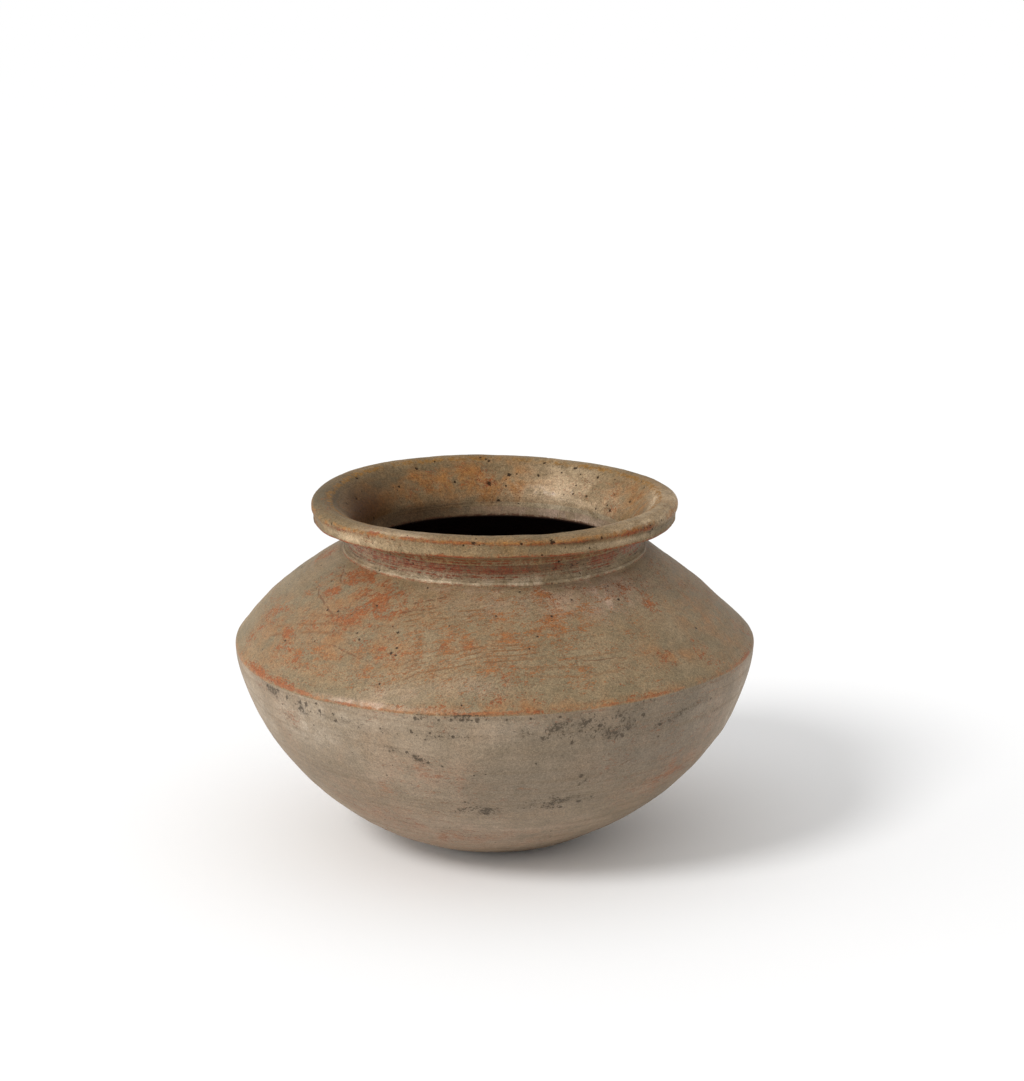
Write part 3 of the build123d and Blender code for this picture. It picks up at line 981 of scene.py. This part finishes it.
# finishes: colours as they look in white light, among them those of painted shade and painted light, and places
# up the section in millimetres
# a line is its place, width, wander, gaps, strength and colour
# a scratch goes from one azimuth and height to another and has a width
# a set of strokes is its first and last azimuth, climb, ease, spacing, lowest and highest stroke, and strength
bowlFinish = {
    "slip": (146, 128, 106), "dull": (127, 111, 90), "warm": (148, 120, 93), "warmth": 0.4, "speckle": 0.37,
    "ochre": (152, 112, 82), "pit": (78, 65, 49), "paleAndLight": (176, 160, 140), "peach": (148, 116, 91),
    "coolAndShade": (110, 99, 84), "deep": (100, 74, 52), "scratch": (100, 74, 52), "rust": (144, 92, 60),
    "rustDeep": (126, 74, 48), "smoke": (68, 56, 41), "streak": (118, 100, 78), "streakAmount": 0.42,
    "fineness": 280, "sway": 0.004, "fleckFineness": 170, "fleckDrawn": 2, "dashFineness": 120,
    "dashDrawn": 4.5, "fleckAmount": 0.55, "roughness": (0.55, 0.7), "sheen": 0.34, "bump": 0.3,
    "pitShare": 0.3, "lines": [(1.2, 1, 2.2, 0.56, 0.6, (132, 88, 62))],
    "scratches": [(29, 80, 33, 84.5, 0.5), (-52, 100, -49, 96, 0.5)],
}
shoulderFinish = {
    "slip": (140, 120, 91), "dull": (122, 106, 79), "warm": (143, 113, 77), "warmth": 0.45, "speckle": 0.46,
    "ochre": (150, 102, 56), "pit": (44, 28, 13), "paleAndLight": (185, 159, 138), "peach": (145, 104, 65),
    "coolAndShade": (114, 101, 77), "deep": (66, 35, 8), "scratch": (104, 68, 42), "rust": (149, 86, 42),
    "rustDeep": (128, 66, 32), "smoke": (54, 40, 25), "streak": (114, 94, 68), "streakAmount": 0.28,
    "fineness": 240, "sway": 0.01, "fleckFineness": 180, "fleckDrawn": 1.3, "dashFineness": 205,
    "dashDrawn": 3.2, "fleckAmount": 0.85, "roughness": (0.52, 0.68), "sheen": 0.34, "bump": 0.3,
    "pitShare": 0.26,
    "lines": [
        (0.6, 1.1, 1.6, 0.42, 0.6, (146, 92, 56)), (1.6, 3.4, 3.8, 0.49, 0.5, (148, 104, 64)),
        (84.3, 0.9, 0.7, 0.43, 0.85, (136, 70, 42)),
    ],
    "combed": (124, 86, 52),
    "strokes": [
        (-26, 14, 24, 12, 3.3, -3, 17, 0.8), (-36, 2, 20, 14, 4.2, 30, 45, 0.8),
        (-70, -36, 26, 16, 6, 6, 24, 0.7), (2, 36, -7, 26, 5.9, 10, 33, 0.42), (95, 150, 22, 14, 5, 8, 30, 0.4),
        (-160, -110, 22, 14, 5.6, 14, 36, 0.4),
    ],
    "scratches": [
        (-69, 160, -48, 151.5, 0.55), (-69, 170, -57, 163.5, 0.5), (-27, 163, -13, 168.5, 0.6),
        (-29, 159, -16, 163.5, 0.5), (-44, 141, -30, 137, 0.45), (20, 140, 34, 138, 0.45),
        (140, 160, 158, 150, 0.6), (-130, 165, -118, 155, 0.6),
    ],
}
neckFinish = {
    "slip": (138, 117, 85), "dull": (113, 95, 68), "warm": (134, 102, 67), "warmth": 0.3, "speckle": 0.5,
    "ochre": (146, 86, 50), "pit": (38, 24, 12), "paleAndLight": (194, 176, 148), "peach": (144, 104, 62),
    "coolAndShade": (108, 98, 78), "deep": (66, 35, 8), "rust": (149, 73, 38), "rustDeep": (112, 48, 26),
    "smoke": (38, 26, 14), "streak": (104, 78, 54), "streakAmount": 0.3, "fineness": 700, "sway": 0.001,
    "fleckFineness": 190, "fleckDrawn": 4.5, "dashFineness": 120, "dashDrawn": 8, "fleckAmount": 0.85,
    "roughness": (0.55, 0.7), "sheen": 0.28, "bump": 0.35, "pitShare": 0.8,
    "lines": [
        (8.6, 0.9, 0.8, 0.42, 0.95, (120, 54, 30)), (7.4, 0.7, 0.9, 0.45, 0.9, (136, 66, 38)),
        (6.2, 0.9, 0.9, 0.42, 0.95, (128, 58, 34)), (5, 0.7, 0.8, 0.43, 0.9, (136, 66, 40)),
        (4.1, 0.5, 0.7, 0.49, 0.85, (112, 56, 34)), (-5.6, 0.8, 0.7, 0.43, 0.9, (138, 68, 42)),
        (-4.4, 0.5, 0.6, 0.53, 0.85, (80, 56, 38)), (-0.5, 0.7, 0.6, 0.46, 0.7, (138, 76, 44)),
    ],
}
rimFinish = {
    "slip": (136, 115, 86), "dull": (117, 99, 72), "warm": (140, 105, 63), "warmth": 0.55, "speckle": 0.5,
    "ochre": (148, 100, 50), "pit": (38, 23, 10), "paleAndLight": (198, 174, 142), "peach": (150, 103, 56),
    "coolAndShade": (96, 85, 64), "deep": (66, 35, 8), "polish": 1, "polishRoughness": 0.24, "rust": (144, 76, 40),
    "rustDeep": (118, 56, 30), "smoke": (38, 23, 10), "streak": (118, 92, 62), "streakAmount": 0.28,
    "fineness": 420, "sway": 0.002, "fleckFineness": 200, "fleckDrawn": 1.5, "dashFineness": 160,
    "dashDrawn": 4, "fleckAmount": 0.75, "roughness": (0.5, 0.68), "sheen": 0.1, "bump": 0.3, "pitShare": 0.85,
    "lines": [
        (0.2, 1, 0.8, 0.42, 0.85, (134, 68, 44)), (7.4, 1.3, 1.6, 0.46, 0.7, (126, 70, 44)),
        (8.8, 2.2, 2, 0.42, 0.65, (148, 100, 50)), (21, 3.2, 3, 0.4, 0.85, (134, 94, 40)),
        # the wide line at -18.5 is painted shade on the cove under the band
        (-18.5, 7, 2, 0.2, 0.55, (100, 66, 42)), (-22.4, 0.9, 0.8, 0.42, 0.9, (124, 58, 34)),
        (-20.6, 0.8, 0.9, 0.44, 0.85, (130, 64, 38)),
    ],
}
# painted shade: the inside below the throat is painted near-black
insideFinish = {"insideShade": (54, 34, 26), "insideShadeDull": (38, 26, 20)}
layStrength = {
    "coolAndShade": 0.85, "paleAndLight": 1, "peach": 0.9, "deep": 0.9, "wash": 0.24, "film": 0.8, "combed": 1, "scratch": 0.65,
    "cloud": 0.4, "dots": 0.8, "pit": 0.9,
}
fleckSoftness, dashSoftness = 0.06, 0.05
seamPenalty, sideBias = 99, 0.2     # a pit isn't put on a seam, or on the wrong side of a wall
reliefDepth = {"grain": 0.7, "drawn": 0.8, "worn": 0.2, "pits": 1.2, "cuts": 0.6}

# painted shade: a dark fringe along the lower edge of the throat
throatShadeFringe = shoulderInfo.length[shoulderInfo.label == "throat"][-1, 0]
shoulderFinish["lines"].append((throatShadeFringe, 1.2, 0.5, 0.34, 0.85, (92, 56, 36)))


def linear(color):
    return tuple(c / 255 / 12.92 if c <= 10.31 else ((c / 255 + 0.055) / 1.055) ** 2.4 for c in color) + (1,)


def scratchPlan(info, *ends):  # its two ends on the outside of the piece
    outer = np.isin(info.label, ["edge", "outside"])
    heights, radii = info.height[outer, 0], info.radius[outer, 0]
    order = np.argsort(heights)
    spots = []
    for azimuth, height in ends:
        radius = np.interp(height, heights[order], radii[order])
        spots.append(Vector(spun(radians(azimuth), radius, height).tolist()) * mm)
    way = spots[1] - spots[0]
    outward = Vector((*spots[0].xy, 0)).normalized()
    return {"From": spots[0], "Along": way.normalized(), "Across": outward.cross(way).normalized(),
            "Length": way.length}


def pitPlace(info, azimuth, height):
    miss = np.abs(swingFrom(info, azimuth)) * info.radius + np.abs(info.height - height)
    inTheMouth = abs(azimuth) > 90 and "outside" not in info.label  # a pit on the far side of the rim
    miss = miss + seamPenalty * info.seamed + (sideBias if inTheMouth else -sideBias) * info.radius
    return Vector(info.shaped.reshape(-1, 3)[np.argmin(miss)].tolist()) * mm


def clayFinish(name, look, info, largePits=()):
    material = bpy.data.materials.new(name)
    material.use_nodes = True
    tree = material.node_tree
    tree.nodes.clear()
    surface = addNode(tree, "BsdfPrincipled")
    addNode(tree, "OutputMaterial", {"Surface": wire(surface.outputs[0])})
    tint = {key: linear(value) for key, value in look.items() if isinstance(value, tuple) and len(value) == 3}
    strength = {**layStrength, "streak": look["streakAmount"], "fleck": look["fleckAmount"]}

    def put(group, **values):
        return wires(addNode(tree, "Group", values, node_tree=group))

    def painted(kind):
        return kept(tree, kind)

    def lay(mask, kind, over=None):  # a colour laid over the last one through a mask
        nonlocal color
        color = mix(mask * strength[kind], color, over or tint[kind])

    ground = put(slipGround, Slip=tint["slip"], Dull=tint["dull"], Warm=tint["warm"],
                 Warmth=look["warmth"], Speckle=look["speckle"])
    drawn = put(drawnLines, Fineness=look["fineness"], Sway=look["sway"])
    patchy = noise(objectPlace(tree), 95, 5, 0.66, 0.4).ramp(0.34, 0.64)
    streaky = (patchy + drawn["Height"]).ramp(0.55, 1.25)
    color = ground["Color"]
    # the cooler marks lay greyer clay and painted shade, the pale ones a pale film and painted light
    lay(painted("coolAndShade"), "coolAndShade")
    lay(painted("paleAndLight") * streaky.ramp(0, 1, 0.4, 1), "paleAndLight")
    lay(painted("peach") * patchy, "peach")
    # painted shade: the deep marks darken the mouth, the throat and the neck where they lie in shade
    lay(painted("deep"), "deep")
    lay(drawn["Lines"] * painted("worked"), "streak")

    # red clay: rubbed patches, drawn dashes and lines; the throat fringe and the rim's cove line are painted
    # shade
    flecks = put(wornFlecks, Density=painted("rust"), Fineness=look["fleckFineness"],
                 Drawn=look["fleckDrawn"], Softness=fleckSoftness)
    dashes = put(wornFlecks, Density=painted("dash"), Fineness=look["dashFineness"],
                 Drawn=look["dashDrawn"], Softness=dashSoftness)
    redClay = mix(flecks["Tone"].ramp(0.36, 0.64), tint["rust"], tint["rustDeep"])
    ochre = mix(dashes["Tone"].ramp(0.38, 0.62), tint["ochre"], tint["rust"])
    ragged = (noise(kept(tree, "brushed", "Vector"), 250, 6, 0.78) - 0.5) * 2.4
    film = (painted("rub") + ragged).ramp(0.36, 0.66) * painted("rub").ramp(0.06, 0.3)
    lay(painted("rust") * patchy, "wash", tint["ochre"])
    lay(film, "film", redClay)
    lay(flecks["Mask"], "fleck", redClay)
    lay(dashes["Mask"], "fleck", ochre)
    worn = greatest(flecks["Mask"], dashes["Mask"])
    for up, width, wander, gaps, amount, lineTint in look["lines"]:
        line = put(wearAndShadeLine, Place=up * mm, Width=width * mm, Wander=wander * mm, Gaps=gaps)
        color = mix(line["Mask"] * amount, color, linear(lineTint))

    cuts = []
    for start, end, climb, ease, spacing, low, high, amount in look.get("strokes", []):
        strokes = put(combedStrokes, Start=start, End=end, Climb=climb * mm, Ease=ease,
                      Spacing=spacing * mm, Low=low * mm, High=high * mm)
        cuts.append(strokes["Mask"] * amount)
    if cuts:
        cuts = [reduce(greatest, cuts)]
        lay(cuts[0], "combed")
    for *ends, width in look.get("scratches", []):
        plan = scratchPlan(info, ends[:2], ends[2:])
        cuts.append(put(scratch, Width=width * mm, **plan)["Mask"])
        lay(cuts[-1], "scratch")
    color = mix(1, color, ground["Tone"], "MULTIPLY")

    # smoke, pits, and painted shade on the inside
    smoke = put(smokeDots, Density=painted("smoke"))
    lay(smoke["Cloud"], "cloud", tint["smoke"])
    lay(smoke["Dots"], "dots", tint["smoke"])
    pits = put(clayPits, Share=look["pitShare"])["Mask"]
    for azimuth, height, size, *_ in largePits:
        spot = put(pitSpot, Spot=pitPlace(info, azimuth, height), Size=size * mm)
        pits = greatest(pits, spot["Mask"])
    lay(pits, "pit")
    # painted shade: near-black over the inside of the body
    insideShade = mix(patchy, linear(insideFinish["insideShade"]), linear(insideFinish["insideShadeDull"]))
    feed(surface.inputs["Base Color"], mix(painted("inside"), color, insideShade))

    gloss = (drawn["Height"] * 0.6 + ground["Grain"] * 0.4).ramp(0.35, 0.65, *look["roughness"], smooth=False)
    feed(surface.inputs["Roughness"], gloss + worn * 0.08)
    feed(surface.inputs["Specular IOR Level"], look["sheen"])
    if "polish" in look:
        feed(surface.inputs["Coat Weight"], painted("polish") * patchy * look["polish"])
        feed(surface.inputs["Coat Roughness"], look["polishRoughness"])
    depth = reliefDepth
    relief = ground["Grain"] * depth["grain"] + drawn["Height"] * depth["drawn"]
    relief = relief - worn * depth["worn"] - pits * depth["pits"]
    if cuts:
        relief = relief - reduce(greatest, cuts) * depth["cuts"]
    bump = addNode(tree, "Bump", {"Strength": 1, "Distance": look["bump"] * mm, "Height": relief})
    feed(surface.inputs["Normal"], wire(bump.outputs["Normal"]))
    return material


finishes = {
    "bowl_clay": clayFinish("bowlClay", bowlFinish, bowlInfo, bowlLook["specks"]),
    "shoulder_clay": clayFinish("shoulderClay", shoulderFinish, shoulderInfo, shoulderLook["pits"]),
    "neck_clay": clayFinish("neckClay", neckFinish, neckInfo),
    "rim_clay": clayFinish("rimClay", rimFinish, rimInfo, rimLook["pits"]),
}
for piece, node, slotName in (
    (bowl, "base_bowl", "bowl_clay"),
    (shoulder, "shoulder", "shoulder_clay"),
    (neckCollar, "neck_collar", "neck_clay"),
    (neckSeamCoil, "neck_seam_coil", "neck_clay"),
    (rimLip, "rim_lip", "rim_clay"),
):
    piece.data.materials.append(finishes[slotName])
    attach(piece, "root")
    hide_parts(node)
print("clay finishes set")

# floor and light
studio = {
    "floorColor": (252, 252, 252),
    "floorRoughness": 0.9,
    "floorCorners": [(-14, -8, 0), (14, -8, 0), (14, 20, 0), (-14, 20, 0)],
    "ambient": 0.72,
    "aim": (0, 0, 0.1),
    "key": {"azimuth": -48, "elevation": 42, "distance": 4, "strength": 0.46, "softness": 18},
    "side": {"azimuth": -84, "elevation": 9, "distance": 2, "wide": 1.6, "high": 0.6, "power": 12},
}


def lampAt(name, kind, setup):
    lamp = bpy.data.lights.new(name, kind)
    holder = addObject(name, lamp)
    rise = radians(setup["elevation"])
    away = Vector(spun(radians(setup["azimuth"]), cos(rise), sin(rise)).tolist())
    holder.location = Vector(studio["aim"]) + away * setup["distance"]
    holder.rotation_euler = away.to_track_quat("Z", "Y").to_euler()
    return lamp


def makeStudio(setup):
    mesh = bpy.data.meshes.new("studioFloor")
    mesh.from_pydata(setup["floorCorners"], [], [(0, 1, 2, 3)])
    paper = bpy.data.materials.new("palePaper")
    paper.use_nodes = True
    shader = paper.node_tree.nodes["Principled BSDF"]
    shader.inputs["Base Color"].default_value = linear(setup["floorColor"])
    shader.inputs["Roughness"].default_value = setup["floorRoughness"]
    shader.inputs["Specular IOR Level"].default_value = 0
    mesh.materials.append(paper)
    floor = addObject("studioFloor", mesh)
    world = bpy.data.worlds.new("softRoom")
    world.use_nodes = True
    sky = world.node_tree.nodes["Background"]
    seen = wires(addNode(world.node_tree, "LightPath"))["Is Camera Ray"]
    sky.inputs["Color"].default_value = (1, 1, 1, 1)
    feed(sky.inputs["Strength"], seen.ramp(0, 1, setup["ambient"], 1, smooth=False))
    scene.world = world
    key = lampAt("softKey", "SUN", setup["key"])
    key.energy = setup["key"]["strength"] * pi
    key.angle = radians(setup["key"]["softness"])
    side = lampAt("sideSoftbox", "AREA", setup["side"])
    side.shape = "RECTANGLE"
    side.size, side.size_y = setup["side"]["wide"], setup["side"]["high"]
    side.energy = setup["side"]["power"]
    scene.view_settings.view_transform = "Standard"


makeStudio(studio)
print("floor and light set")
